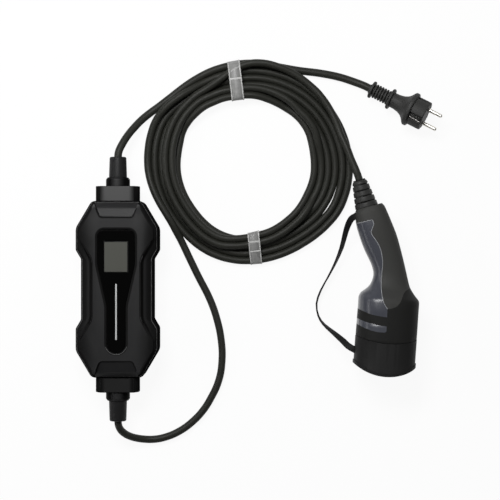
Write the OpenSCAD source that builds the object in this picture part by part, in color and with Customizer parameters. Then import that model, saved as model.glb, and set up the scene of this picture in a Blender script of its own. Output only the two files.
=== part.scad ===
// Portable charging set for electric vehicles: a control box with a display, a short
// supply cord with an earthed mains plug, and a coiled vehicle cord with a pistol-grip
// connector under a tethered dust cap. Millimetres, lying on z = 0 with the display up.

/* [Control box] */
// Width of the case across its lobes
case_w = 101; // [96:1:106]
// Length of the case between its end faces
case_l = 216; // [212:1:222]
// Depth of the case from back to front panel
case_d = 60; // [58:1:64]
// Width of the case at its waist
waist_w = 88; // [85:1:91]
// Thickness of the moulded walls
wall = 3; // [2.6:0.2:3.2]
// Height of the parting line above the back
split_z = 28; // [27:1:30]

/* [Front panel] */
// Width of the raised panel at its waist
panel_waist_w = 61; // [58:1:64]
// Width of the raised panel at its lobes
panel_lobe_w = 90; // [87:1:92]
// Width of the window at its head
window_w = 45; // [43:1:47]
// Width of the window at its tail
tail_w = 22.4; // [21:0.2:24]
// Top of the window above the case middle
window_top = 72.4; // [70:0.2:74]
// Bottom of the window below the case middle
window_bottom = 77; // [75:0.5:79]
// Width of the display glass
lcd_w = 29.5; // [27:0.5:31]
// Length of the display glass
lcd_l = 37; // [34:0.5:39]
// Length of the status light
light_l = 68; // [62:1:70]
// Width of the status light
light_w = 3; // [2.4:0.2:3.6]

/* [Glands] */
// Height of the cord axis above the back
gland_z = 30; // [29:0.5:31]
// Width of each end collar
collar_w = 53.5; // [50:0.5:56]
// Length of each end collar
collar_l = 18.2; // [16:0.2:20]
// Diameter of each ring nut
nut_d = 29.5; // [28:0.5:31]
// Length of each ring nut
nut_l = 11; // [9:0.5:12]
// Diameter of each bend sleeve at the nut
sleeve_d = 22.2; // [21:0.2:24]
// Length of each bend sleeve
sleeve_l = 25.3; // [22:0.1:28]

/* [Cords] */
// Diameter of the supply cord
supply_d = 9.6; // [9:0.1:9.8]
// Diameter of the vehicle cord
vehicle_d = 9.2; // [8.6:0.1:9.6]
// Inner radius of the coil
coil_in = 81; // [79:0.5:83]
// Outer radius of the coil
coil_out = 126; // [124:0.5:127]
// Height of the coil
coil_h = 18; // [16:0.5:20]
// Width of the bands round the coil
band_w = 16; // [13:0.5:18]
// Thickness of the bands round the coil
band_t = 0.9; // [0.6:0.1:1]

/* [Mains plug] */
// Diameter of the plug flange
flange_d = 43; // [42:0.5:44]
// Diameter of the plug front block
block_d = 36.6; // [36:0.2:37.4]
// Diameter of each mains pin
pin_d = 4.8; // [4.6:0.1:4.9]
// Length of each mains pin
pin_l = 19; // [18:0.5:20]
// Distance between the mains pins
pin_pitch = 19; // [18.6:0.1:19.4]

/* [Vehicle connector] */
// Width of the connector head
head_w = 74.6; // [73:0.2:76]
// Thickness of the connector head
head_t = 69; // [67:0.5:70]
// Width of the nose
nose_w = 55; // [53:0.5:56]
// Thickness of the nose
nose_t = 57; // [55:0.5:58]
// How far the nose stands out of the head
nose_l = 30; // [28:0.5:31]
// Wall of the dust cap
cap_wall = 3; // [2.6:0.2:3.2]
// Width of the cap strap
strap_w = 8; // [7:0.5:9]
// Thickness of the cap strap
strap_t = 2; // [1.6:0.2:2.4]

/* [Fits] */
// Running clearance between seated pieces
clear = 0.3; // [0.25:0.05:0.4]

/* [Hidden] */
$fn = 48;

end_y = case_l / 2;
collar_y = end_y + collar_l;
nut_y = collar_y + nut_l;
sleeve_y = nut_y + sleeve_l;
// Levels of the front half
shoulder_z = case_d - 13.5;
cheek_z = case_d - 6.4;
rim_w = 1.9;
step_w = 1.5;
pocket_z = case_d - 2.8;
lens_z = case_d - 0.5;
board_z = case_d - 10.4;
inner_z = case_d - 5.4;
main_z = 11;
board_t = 1.6;
main_w = 56;
main_l = 132;
display_w = 40;
display_l = 130;
lcd_y = 40;
light_y = 6.8 - light_l / 2;
screw_spots = [for (s = [-1, 1]) each [[s * 39, 64], [s * 34, 0], [s * 39, -64]]];
// Coil
coil_x = 157.5;
coil_y = 154.5;
coil_z = band_t + 0.2;
notch_r = 116.8;
notch_h = supply_d + band_t + 1;
// Plug frame
plug_x = 360;
plug_y = 223;
plug_z = flange_d / 2 * cos(11) + 0.1;
plug_turn = 28;
plug_tip = 11;
plug_roll = 30;
block_l = 17.5;
flange_t = 4.5;
pin_root = 3.8;
clip_w = 3.2;
// Connector frame
head_x = 329.5;
head_y = -59;
head_turn = 4.2;
head_z = head_t / 2 + 0.6;
rim_r = 112;
rim_y = 106;
end_r = 64;
end_c = 17.5;
spigot_l = 8;
boot_l = 36;
boot_rings = 5;
boot_slit = 1;
boot_r = 14.2;
boot_step = 1.15;
boot_lean = 20;
boot_base = [-35.2, 157.4];
carrier_top = 20;

// Rounded outlines
function unit(v) = v / norm(v);
function turned(v, a) = [v[0] * cos(a) - v[1] * sin(a), v[0] * sin(a) + v[1] * cos(a)];
function arc_end(m, q) = atan2(q[1] - m[1], q[0] - m[0]);
function corner(a, p, b, r, n) =
  let (u = unit(a - p), v = unit(b - p), half = acos(u * v) / 2)
  let (m = p + unit(u + v) * r / sin(half), t = r / tan(half))
  let (s = arc_end(m, p + u * t), d = (arc_end(m, p + v * t) - s + 540) % 360 - 180)
  [for (i = [0:n]) m + r * [cos(s + d * i / n), sin(s + d * i / n)]];
function flat(p) = [p[0], p[1]];
function rounded(pts, n) =
  let (k = len(pts))
  [for (i = [0:k - 1])
    each corner(flat(pts[(i + k - 1) % k]), flat(pts[i]), flat(pts[(i + 1) % k]), pts[i][2], n)];
function both(h) = concat(h, [for (i = [len(h) - 1:-1:0]) [-h[i][0], h[i][1], h[i][2]]]);
function ends(q) = concat(q, [for (i = [len(q) - 1:-1:0]) [q[i][0], -q[i][1], q[i][2]]]);
function at(pts, z) = [for (p = pts) [p[0], p[1], z]];

// Case outline moved in by d, from the top end round the right side
function case_quarter(d) = [
  [31 - 0.58 * d, end_y - d, max(8 - d, 1)],
  [case_w / 2 - d, 75 - 0.27 * d, max(14 - d, 1)],
  [case_w / 2 - d, 48 + 0.27 * d, max(6 - d, 1)],
  [waist_w / 2 - d, 37 + 0.27 * d, 6 + max(d, 0)]];
function case_line(d) = rounded(both(ends(case_quarter(d))), 5);
// Outline of the raised hourglass panel moved in by d
function panel_quarter(d) = [
  [28.5 - 0.58 * d, end_y - 4 - d, 5],
  [panel_lobe_w / 2 - d, 73 - 0.27 * d, 9],
  [panel_lobe_w / 2 - d, 62 + 0.27 * d, 6],
  [panel_waist_w / 2 - d, 36 + 0.4 * d, 20]];
function panel_line(d) = rounded(both(ends(panel_quarter(d))), 5);
// Line on the cheek, part of the way from the case rim to the panel
function cheek_line(t) = (1 - t) * case_line(rim_w) + t * panel_line(-step_w);
// Keyhole window outline moved in by d
function window_half(d) = [
  [window_w / 2 - d, window_top - d, 8 - d],
  [window_w / 2 - d, 30, 40],
  [tail_w / 2 - d, -20, 40],
  [tail_w / 2 - d, -window_bottom + d, tail_w / 2 - d - 0.05]];
function window_line(d) = rounded(both(window_half(d)), 6);

// Solid through rings of points, each ring clockwise seen from the last one
module loft(rings) {
  n = len(rings[0]);
  m = len(rings);
  sides = [for (i = [0:m - 2], j = [0:n - 1]) each [
    [i * n + j, i * n + (j + 1) % n, (i + 1) * n + (j + 1) % n],
    [i * n + j, (i + 1) * n + (j + 1) % n, (i + 1) * n + j]]];
  first = [for (j = [n - 1:-1:0]) j];
  last = [for (j = [0:n - 1]) (m - 1) * n + j];
  polyhedron(points = [for (r = rings) each r], faces = concat([first], sides, [last]), convexity = 8);
}

// Smooth curve through route points, k steps each
function blend(a, b, c, d, t) =
  (2 * b + (c - a) * t + (2 * a - 5 * b + 4 * c - d) * t * t + (3 * b - a - 3 * c + d) * t * t * t) / 2;
function curve(p, k) =
  let (e = len(p) - 1)
  concat([for (i = [0:e - 1], s = [0:k - 1])
    blend(p[max(i - 1, 0)], p[i], p[i + 1], p[min(i + 2, e)], s / k)], [p[e]]);
function heading(c, i) = unit(c[min(i + 1, len(c) - 1)] - c[max(i - 1, 0)]);
function ring(c, t, r, n) =
  let (s = unit(cross(t, [0, 0, 1])), u = cross(s, t))
  [for (j = [0:n - 1]) c + r * (cos(360 * j / n) * s + sin(360 * j / n) * u)];
module tube(route, d) {
  loft([for (i = [0:len(route) - 1]) ring(route[i], heading(route, i), d / 2, 10)]);
}

module cut_y(y0, y1, r0, r1) {
  translate([0, y0, gland_z])
    rotate([-90, 0, 0])
      cylinder(h = y1 - y0, r1 = r0, r2 = r1);
}

module case_prism(d, z0, z1) {
  translate([0, 0, z0])
    linear_extrude(z1 - z0)
      polygon(case_line(d));
}

// Keeps what lies between two levels, so each cut face is one plane
module between(z0, z1) {
  intersection() {
    children();
    translate([-100, -150, z0])
      cube([200, 300, z1 - z0]);
  }
}

module screw_posts(z0, z1, r) {
  for (p = screw_spots)
    translate([p[0], p[1], z0])
      cylinder(h = z1 - z0, r = r);
}

// Back half of the case: rounded back edge, screw posts, board posts, cord ports
module rear_shell() {
  color([0.09, 0.09, 0.09])
    difference() {
      union() {
        difference() {
          between(0, split_z)
            loft([at(case_line(5), -0.9), at(case_line(1), 0.9), at(case_line(0), 3), at(case_line(0), split_z + 2)]);
          case_prism(wall, wall, split_z + 1);
        }
        intersection() {
          screw_posts(1, split_z, 5);
          case_prism(1, 0, split_z);
        }
        for (x = [-26, 26], y = [-58, 58])
          translate([x, y, wall - 0.5])
            cylinder(h = main_z - wall + 0.5, r = 3);
      }
      screw_posts(-1, split_z + 1, 1.8);
      screw_posts(-1, 5, 3.6);
      cut_y(-end_y - 1, end_y + 1, 8, 8);
      difference() {
        case_prism(wall / 2 - 0.5, split_z - 1.4, split_z + 1);
        case_prism(wall / 2 + 0.5, split_z - 2, split_z + 2);
        screw_posts(0, split_z + 2, 5.2);
      }
    }
}

module housing_seal() {
  color([0.05, 0.05, 0.05])
    difference() {
      case_prism(wall / 2 - 0.45, split_z - 1.4, split_z);
      case_prism(wall / 2 + 0.45, split_z - 2, split_z + 2);
      screw_posts(0, split_z + 2, 5.3);
    }
}

// Sloped recess at one end of the panel
module end_ramp() {
  translate([0, end_y - 21, case_d - 1.5])
    rotate([-21, 0, 0])
      linear_extrude(20)
        polygon(rounded([[-20, 0, 5], [20, 0, 5], [36, 40, 1], [-36, 40, 1]], 4));
}

// Front half of the case: hourglass panel, sloped cheeks, end recesses, window pocket
module front_shell() {
  color([0.1, 0.1, 0.1])
    difference() {
      union() {
        difference() {
          between(split_z, case_d)
            loft([at(case_line(0), split_z - 2), at(case_line(0), shoulder_z - 1),
              at(case_line(rim_w), shoulder_z + 2), at(cheek_line(0.45), cheek_z - 1),
              at(cheek_line(0.8), cheek_z - 0.1), at(panel_line(-step_w), cheek_z),
              at(panel_line(-0.5), case_d - 1.4), at(panel_line(0.3), case_d - 0.4),
              at(panel_line(2.1), case_d + 0.4)]);
          case_prism(wall, split_z - 1, shoulder_z);
          intersection() {
            translate([0, 0, shoulder_z - 1])
              linear_extrude(inner_z - shoulder_z + 1)
                polygon(panel_line(wall + 1));
            cube([200, 164, 200], center = true);
          }
        }
        intersection() {
          screw_posts(split_z, shoulder_z + 1, 5);
          case_prism(1, split_z, shoulder_z + 1);
        }
        for (x = [-17, 17], y = [-54, 56])
          translate([x, y, board_z + board_t])
            cylinder(h = inner_z - board_z - board_t + 1, r = 2.5);
      }
      end_ramp();
      mirror([0, 1, 0])
        end_ramp();
      screw_posts(split_z - 1, split_z + 12, 1.5);
      cut_y(-end_y - 1, end_y + 1, 8, 8);
      between(pocket_z, case_d + 1)
        loft([at(window_line(0), pocket_z - 2), at(window_line(0), lens_z - 0.9), at(window_line(-2.2), case_d + 0.1)]);
      translate([-lcd_w / 2 - 0.2, lcd_y - lcd_l / 2 - 0.2, board_z])
        cube([lcd_w + 0.4, lcd_l + 0.4, 30]);
      light_slot(light_w + 0.4, light_l + 0.4, board_z, 30);
    }
}

module light_slot(w, l, z, h) {
  translate([0, light_y - (l - w) / 2, z])
    cylinder(h = h, d = w);
  translate([0, light_y + (l - w) / 2, z])
    cylinder(h = h, d = w);
  translate([-w / 2, light_y - (l - w) / 2, z])
    cube([w, l - w, h]);
}

module display_window() {
  color([0.02, 0.02, 0.02])
    difference() {
      translate([0, 0, pocket_z])
        linear_extrude(lens_z - pocket_z)
          polygon(window_line(0.15));
      translate([-lcd_w / 2 - 0.1, lcd_y - lcd_l / 2 - 0.1, 0])
        cube([lcd_w + 0.2, lcd_l + 0.2, 100]);
      light_slot(light_w + 0.2, light_l + 0.2, 0, 100);
    }
}

module lcd_panel() {
  color([0.33, 0.34, 0.3])
    translate([-lcd_w / 2, lcd_y - lcd_l / 2, board_z + board_t])
      cube([lcd_w, lcd_l, lens_z - board_z - board_t - 0.1]);
}

module light_bar() {
  color([0.62, 0.63, 0.63])
    light_slot(light_w, light_l, board_z + board_t, lens_z - board_z - board_t);
}

module display_board() {
  color([0.1, 0.3, 0.16])
    translate([-display_w / 2, -display_l / 2 - 1, board_z])
      cube([display_w, display_l, board_t]);
}

module main_board() {
  color([0.1, 0.3, 0.16])
    translate([-main_w / 2, -main_l / 2, main_z])
      cube([main_w, main_l, board_t]);
}

module on_board(x, y, w, l, h) {
  translate([x - w / 2, y - l / 2, main_z + board_t])
    cube([w, l, h]);
}

module power_relays() {
  color([0.15, 0.2, 0.5])
    for (x = [-15, 15])
      on_board(x, -12, 19, 30, 24);
}

module supply_module() {
  color([0.12, 0.12, 0.12])
    on_board(-13, 26, 30, 34, 24);
}

// Ring sensor standing on the board, its hole in line with the power conductors
module leak_sensor() {
  color([0.1, 0.1, 0.12])
    translate([16, 18, main_z + board_t + 13])
      rotate([-90, 0, 0])
        difference() {
          cylinder(h = 14, r = 13);
          translate([0, 0, -1])
            cylinder(h = 16, r = 7);
        }
}

module terminal_blocks() {
  color([0.16, 0.4, 0.24])
    for (y = [-54, 56])
      on_board(0, y, 30, 12, 14);
}

module housing_screws() {
  color([0.7, 0.7, 0.7])
    for (p = screw_spots)
      translate([p[0], p[1], 2.4]) {
        difference() {
          cylinder(h = 2.6, r = 3.2);
          translate([0, 0, -1])
            cylinder(h = 2.4, r = 1.6, $fn = 6);
        }
        cylinder(h = split_z + 7, r = 1.4);
      }
}

// Chamfered end block of the case round one cord
module collar() {
  translate([0, collar_y, gland_z])
    rotate([90, 0, 0])
      linear_extrude(collar_l)
        polygon(both(ends([[collar_w / 2 - 6, 17.5, 0], [collar_w / 2 - 1.6, 11, 0], [collar_w / 2, 6, 0]]))
          * [[1, 0], [0, 1], [0, 0]]);
}

module end_collar(bore) {
  color([0.11, 0.11, 0.11])
    difference() {
      collar();
      cut_y(end_y - 1, collar_y + 1, bore, bore);
      cut_y(end_y - 1, collar_y - 6, 9, 9);
    }
}

module end_seal(bore) {
  color([0.05, 0.05, 0.05])
    difference() {
      cut_y(end_y, collar_y - 6, 8.9, 8.9);
      cut_y(end_y - 1, collar_y, bore, bore);
    }
}

// Ring nut with a turned edge and twelve flats
module end_nut(bore) {
  color([0.1, 0.1, 0.1])
    difference() {
      intersection() {
        translate([0, collar_y, gland_z])
          rotate([-90, 0, 0])
            cylinder(h = nut_l, d = nut_d / cos(15), $fn = 12);
        union() {
          cut_y(collar_y, nut_y - 2.5, nut_d / 2, nut_d / 2);
          cut_y(nut_y - 2.5, nut_y, nut_d / 2, nut_d / 2 - 2);
        }
      }
      cut_y(collar_y - 1, nut_y + 1, bore, bore);
    }
}

module end_sleeve(bore) {
  color([0.08, 0.08, 0.08])
    difference() {
      union() {
        cut_y(nut_y, sleeve_y - 1.2, sleeve_d / 2, sleeve_d / 2 - 0.8);
        cut_y(sleeve_y - 1.2, sleeve_y, sleeve_d / 2 - 0.8, sleeve_d / 2 - 1.8);
      }
      cut_y(nut_y - 1, sleeve_y + 1, bore, bore);
    }
}

module upper_collar() end_collar(supply_d / 2 + clear);
module upper_nut() end_nut(supply_d / 2 + clear);
module upper_seal() end_seal(supply_d / 2 + 0.1);
module upper_sleeve() end_sleeve(supply_d / 2 + clear);
module lower_collar() mirror([0, 1, 0]) end_collar(vehicle_d / 2 + clear);
module lower_nut() mirror([0, 1, 0]) end_nut(vehicle_d / 2 + clear);
module lower_seal() mirror([0, 1, 0]) end_seal(vehicle_d / 2 + 0.1);
module lower_sleeve() mirror([0, 1, 0]) end_sleeve(vehicle_d / 2 + clear);

// Points on the axis of the plug and of the connector boot
function on_plug(s) = [plug_x, plug_y, plug_z]
  + s * [cos(plug_tip) * cos(plug_turn), -cos(plug_tip) * sin(plug_turn), sin(plug_tip)];
function on_boot(s) =
  let (q = turned(boot_base + s * [-sin(boot_lean), cos(boot_lean)], -head_turn))
  [head_x + q[0], head_y + q[1], head_z];

// Cord routes, settled on the floor after leaving the glands
floor_z = supply_d / 2 + 0.1;
over_band_z = supply_d / 2 + band_t + 0.4;
supply_route = concat([[0, end_y + 2, gland_z], [0, sleeve_y, gland_z]], curve([
  [1, sleeve_y + 8, 29], [12, 190, 20], [38, 218, 7], [72, 244, floor_z], [112, 269.5, over_band_z],
  [160, 280, over_band_z], [208, 274.5, over_band_z], [256, 267, floor_z], [286, 260.5, 6]], 3),
  [on_plug(-64), on_plug(-50)]);
lay_z = vehicle_d / 2 + 0.1;
lead_route = concat([[0, -end_y - 2, gland_z], [0, -sleeve_y, gland_z]], curve([
  [1, -sleeve_y - 5, 28], [12, -181, 16], [38, -190, 5.5], [75, -180, lay_z], [106, -150, lay_z],
  [124, -112, lay_z], [127, -64, lay_z], [113, -14, lay_z], [92, 28, lay_z], [75, 66, lay_z],
  [58, 98, lay_z]], 3));
exit_route = concat(curve([[252, 234, 7], [269, 206, 11], [281, 174, 22]], 3),
  [on_boot(boot_l + 8), on_boot(boot_l - 14)]);

module supply_cord() {
  color([0.08, 0.08, 0.08])
    tube(supply_route, supply_d);
}

module vehicle_lead() {
  color([0.08, 0.08, 0.08])
    tube(lead_route, vehicle_d);
}

module vehicle_exit() {
  color([0.08, 0.08, 0.08])
    tube(exit_route, vehicle_d);
}

// Section of the coil, turns stacked two high in the middle, grown by g
function coil_section(g) = rounded([
  [coil_in - g, coil_z - g, 3 + g], [coil_in - g, coil_z + 9 + g / 2, 4 + g],
  [coil_in + 9, coil_z + coil_h - 1 + g, 6 + g], [coil_out - 9, coil_z + coil_h - 1 + g, 6 + g],
  [coil_out + g, coil_z + 9 + g / 2, 4 + g], [coil_out + g, coil_z - g, 3 + g]], 4);

module cord_coil() {
  color([0.09, 0.09, 0.09])
    translate([coil_x, coil_y, 0])
      difference() {
        rotate_extrude($fn = 96)
          polygon(coil_section(0));
        rotate([0, 0, 52])
          rotate_extrude(angle = 100, $fn = 96)
            translate([notch_r, -1])
              square([40, notch_h + 1]);
      }
}

// Band round the coil, closed on itself; the supply cord passes through the upper one
module coil_band(a, g) {
  color([0.75, 0.76, 0.76])
    translate([coil_x, coil_y, 0])
      rotate([0, 0, a - band_w / 2 * 57.3 / 104])
        rotate_extrude(angle = band_w * 57.3 / 104, $fn = 96)
          difference() {
            polygon(coil_section(0.2 + band_t) + [for (i = [0:29]) band_shift(i, g)]);
            polygon(coil_section(0.2) + [for (i = [0:29]) band_shift(i, g)]);
          }
}
function band_shift(i, g) = i > 19 ? [g, 0] : [0, 0];
module coil_band_top() coil_band(97, 5);
module coil_band_bottom() coil_band(-84, 0);

module in_plug() {
  translate([plug_x, plug_y, plug_z])
    rotate([0, 0, -plug_turn])
      rotate([0, -plug_tip, 0])
        rotate([plug_roll, 0, 0])
          children();
}

// Body of revolution along the plug axis
module spun(pts) {
  rotate([0, 90, 0])
    rotate_extrude()
      polygon(pts * [[0, 1], [1, 0]]);
}

// Rubber plug: ribbed boot, bell, flange and the jacket of the front block
module plug_body() {
  color([0.07, 0.07, 0.07])
    in_plug()
      difference() {
        union() {
          spun([[-56, 0], [-56, 5.9], [-54, 6.3], [-54, 10.4], [-53.4, 11], [-51.6, 11], [-51, 10.4], [-51, 6.1],
            [-28, 6.4], [-28, 12.6], [-27.4, 13.3], [-25.4, 13.3], [-24.8, 12.6], [-24.8, 9.4], [-18, 9.6],
            [-12, 10.8], [-8, 12.6], [-5, 15], [-3, 17.6], [-1.6, 19.6], [-0.6, flange_d / 2 - 0.8],
            [0.2, flange_d / 2], [flange_t - 1, flange_d / 2], [flange_t, flange_d / 2 - 1], [flange_t, 0]]);
          for (i = [0:5])
            spun([[-49 + 3.6 * i, 5.6], [-49 + 3.6 * i, 8.7], [-48.6 + 3.6 * i, 9.1],
              [-47.4 + 3.6 * i, 9.1], [-47 + 3.6 * i, 8.7], [-47 + 3.6 * i, 5.6]]);
          translate([flange_t, 0, 0])
            plug_front(block_l);
        }
        translate([flange_t, 0, 0])
          rotate([0, 90, 0])
            cylinder(h = block_l, r = 14.4);
        rotate([0, -90, 0])
          cylinder(h = 60, d = supply_d + 2 * clear);
        for (s = [-1, 1])
          scale([1, 1, s])
            translate([flange_t, -4.2, block_d / 2 - 3])
              cube([block_l, 8.4, 10]);
      }
}

// Front block with a guide groove on each pin side
module plug_front(l) {
  difference() {
    union() {
      rotate([0, 90, 0])
        cylinder(h = l - 1, d = block_d);
      translate([l - 1, 0, 0])
        rotate([0, 90, 0])
          cylinder(h = 1, d1 = block_d, d2 = block_d - 1.6);
    }
    for (s = [-1, 1])
      translate([-1, s * block_d / 2 - 3, -2.6])
        cube([l + 2, 6, 5.2]);
  }
}

module plug_bridge() {
  color([0.09, 0.09, 0.09])
    in_plug()
      difference() {
        translate([flange_t, 0, 0])
          rotate([0, 90, 0])
            cylinder(h = block_l, r = 14.4 - 0.1);
        for (s = [-1, 1])
          translate([flange_t + 2, s * pin_pitch / 2, 0])
            rotate([0, 90, 0])
              cylinder(h = block_l, d = pin_root);
      }
}

module plug_pins() {
  color([0.8, 0.8, 0.8])
    in_plug()
      for (s = [-1, 1])
        translate([flange_t + 2, s * pin_pitch / 2, 0])
          rotate([0, 90, 0]) {
            cylinder(h = block_l - 2, d = pin_root - 0.04);
            translate([0, 0, block_l - 2])
              cylinder(h = pin_l - 1.4, d = pin_d);
            translate([0, 0, block_l - 2 + pin_l - 1.4])
              cylinder(h = 1.4, d1 = pin_d, d2 = pin_d - 2.4);
          }
}

module earth_clips() {
  color([0.8, 0.8, 0.8])
    in_plug()
      for (s = [-1, 1])
        scale([1, 1, s])
          translate([flange_t, -clip_w / 2, block_d / 2 - 3])
            difference() {
              cube([block_l - 1.5, clip_w, 2.6]);
              translate([-1, -1, 1.9])
                rotate([0, 4, 0])
                  cube([4, 8, 4]);
              translate([block_l - 4, -1, 1.9])
                rotate([0, 14, 0])
                  cube([6, 8, 4]);
            }
}

// Connector frame: y runs from the nose back along the head, z across the head
module in_head() {
  translate([head_x, head_y, head_z])
    rotate([0, 0, -head_turn])
      children();
}

// Stations of the grip and head: middle x and y, lean, half width, half thickness, roundness
stations = [
  [0, -14, 0, head_w / 2, head_t / 2, 2.7],
  [0, 12, 0, head_w / 2, head_t / 2, 2.7],
  [0, 36, 0, head_w / 2 - 0.1, head_t / 2 - 0.4, 2.6],
  [-0.1, 45, 0, head_w / 2 - 0.1, head_t / 2 - 1.2, 2.6],
  [-0.6, 48.4, 0, head_w / 2 - 0.9, head_t / 2 - 2.8, 2.5],
  [-1.5, 53, 0, head_w / 2 - 4, head_t / 2 - 6.6, 2.4],
  [-0.4, 58, 0, 28.4, 23.6, 2.4],
  [0.2, 63.4, 0, 24.4, 20.6, 2.4],
  [0.2, 71, 0, 21.8, 18.8, 2.4],
  [-1.2, 80, 3, 20.2, 18, 2.4],
  [-5.6, 93, 10, 20.1, 18, 2.4],
  [-12.2, 108, 16, 21.4, 18.4, 2.4],
  [-17.8, 121, 18, 22, 18.6, 2.5],
  [-25.6, 138.5, 19, 21.2, 18.2, 2.7],
  [-28.9, 147.6, 19.5, 19.9, 17.2, 2.8],
  [-31.6, 155, 20, 18.5, 16.2, 2.8],
  [-33.4, 160.2, 20, 15, 13.2, 2.6]];
function power(v, e) = sign(v) * pow(abs(v), e);
function oval(a, b, e, n) = [for (j = [0:n - 1])
  [a * power(cos(360 * j / n), 2 / e), b * power(sin(360 * j / n), 2 / e)]];
function station_ring(s, d) =
  [for (q = oval(s[3] - d, s[4] - d, s[5], 32))
    [s[0] + q[0] * cos(s[2]), s[1] + q[0] * sin(s[2]), q[1]]];
module body(d) {
  difference() {
    loft([for (s = curve(stations, 2)) station_ring(s, d)]);
    at_boot()
      translate([-40, 0, -40])
        cube([80, 20, 80]);
  }
}

// Frame at the square-cut end of the grip, y along the boot
module at_boot() {
  translate([boot_base[0], boot_base[1], 0])
    rotate([0, 0, boot_lean])
      children();
}

module slab(pts) {
  translate([0, 0, -60])
    linear_extrude(120)
      polygon(pts);
}

// Regions of the three mouldings in side view
grip_edge = [[-28.8, 142], [-26.4, 137], [-29, 127.5], [-26.6, 122.5], [-18.4, 112], [-13.6, 99.5], [-12, 87],
  [-12.3, 69], [-11, 51], [-8, 41.5], [-3.6, 35.5]];
hood_edge = [[-3.6, 35.5], [2, 36.6], [8, 40], [12, 46], [14.5, 53], [18.5, 59], [25, 62.5]];
band_low = [[-3, 14.5], [-12, 15], [-21, 16.4], [-29, 18.2], [-37, 20.8], [-60, 30]];
band_high = [[-60, 42], [-38, 33], [-29.5, 29.6], [-21, 27.2], [-12, 26], [-3, 25.6]];
stripe_low = [[-3, 8.6], [-4.6, 7], [-12, 6.8], [-21, 8], [-29, 10.4], [-37, 13.8], [-60, 25]];
module grip_region() {
  slab(concat(curve(grip_edge, 2), stripe_low, [[-90, 60], [-90, 122.5]]));
}
module hood_region() {
  slab(concat(curve(hood_edge, 2), [[70, 80], [70, -40], [-70, -40], [-70, 60], [-40, 60]]));
}
module band_region() {
  slab(concat(band_low, band_high));
}

module handle_cover() {
  color([0.12, 0.12, 0.11])
    in_head()
      difference() {
        body(0);
        grip_region();
        hood_region();
        screw_holes(0, 2);
      }
}

module grip_insert() {
  color([0.33, 0.36, 0.39])
    in_head()
      difference() {
        intersection() {
          body(0);
          grip_region();
        }
        difference() {
          band_region();
          body(1.6);
        }
        carrier_hole();
      }
}

// Black head: band over the insert, rounded front rim and the spigot that carries the cap
module head_shell() {
  color([0.07, 0.07, 0.07])
    in_head()
      difference() {
        union() {
          intersection() {
            difference() {
              body(0);
              difference() {
                grip_region();
                band_region();
              }
              intersection() {
                body(1.6);
                band_region();
                grip_region();
              }
            }
            hood_region();
            rim(0);
          }
          spigot();
        }
        carrier_hole();
        screw_holes(3, 3);
      }
}

// Barrel whose lower face is the curved rim line
module rim(g) {
  translate([0, rim_y, -60])
    cylinder(h = 120, r = rim_r + g, $fn = 180);
}

// Straight prism of oval section along the head axis
module oval_prism(a, b, y0, y1, e = 2.7) {
  translate([0, y1, 0])
    rotate([90, 0, 0])
      linear_extrude(y1 - y0)
        polygon(oval(a, b, e, 48));
}

module spigot() {
  oval_prism(head_w / 2 - cap_wall - clear, head_t / 2 - cap_wall - clear, rim_y - rim_r - spigot_l, 2);
}

module carrier_hole() {
  translate([0, carrier_top, 0])
    rotate([90, 0, 0])
      cylinder(h = 60, r = 25);
}

// Contact spots across the nose: power and signal
power_spots = [[0, 0], [-14.5, 0], [14.5, 0]];
spare_spots = [[-8, -15], [8, -15]];
signal_spots = [[-9, 14], [9, 14]];
nose_y = rim_y - rim_r - nose_l;

module along_head(p, y0, y1, r) {
  translate([p[1], y1, p[0]])
    rotate([90, 0, 0])
      cylinder(h = y1 - y0, r = r);
}

// Nose with a flat on the thumb side and seven contact holes
module contact_carrier() {
  color([0.06, 0.06, 0.06])
    in_head()
      difference() {
        union() {
          along_head([0, 0], rim_y - rim_r - spigot_l, carrier_top, 24.8);
          intersection() {
            oval_prism(nose_w / 2, nose_t / 2, nose_y, rim_y - rim_r - spigot_l, 2.4);
            translate([-60, nose_y - 1, -60])
              cube([60 + nose_w / 2 - 4, 60, 120]);
          }
        }
        for (p = concat(power_spots, spare_spots))
          along_head(p, nose_y - 1, nose_y + 40, 4.6);
        for (p = signal_spots)
          along_head(p, nose_y - 1, nose_y + 40, 3.1);
      }
}

module sleeve_at(p, r, bore) {
  difference() {
    along_head(p, nose_y + 5, nose_y + 40, r);
    along_head(p, nose_y, nose_y + 33, bore);
  }
}

module power_contacts() {
  color([0.78, 0.76, 0.7])
    in_head()
      for (p = power_spots)
        sleeve_at(p, 4.5, 3);
}

module signal_contacts() {
  color([0.78, 0.76, 0.7])
    in_head()
      for (p = signal_spots)
        sleeve_at(p, 3, 1.5);
}

// Screws on the hidden side
handle_spots = [[-12, 128], [0, 104], [10, 78], [29, 27]];
module screw_holes(i0, i1) {
  for (i = [i0:i1])
    translate([handle_spots[i][0], handle_spots[i][1], -60]) {
      cylinder(h = 50, r = 3);
      cylinder(h = 61, r = 1.5);
    }
}

module handle_screws() {
  color([0.6, 0.6, 0.6])
    in_head()
      for (i = [0:3])
        translate([handle_spots[i][0], handle_spots[i][1], -12.6]) {
          cylinder(h = 2.6, r = 2.8);
          cylinder(h = 12, r = 1.4);
        }
}

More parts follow.
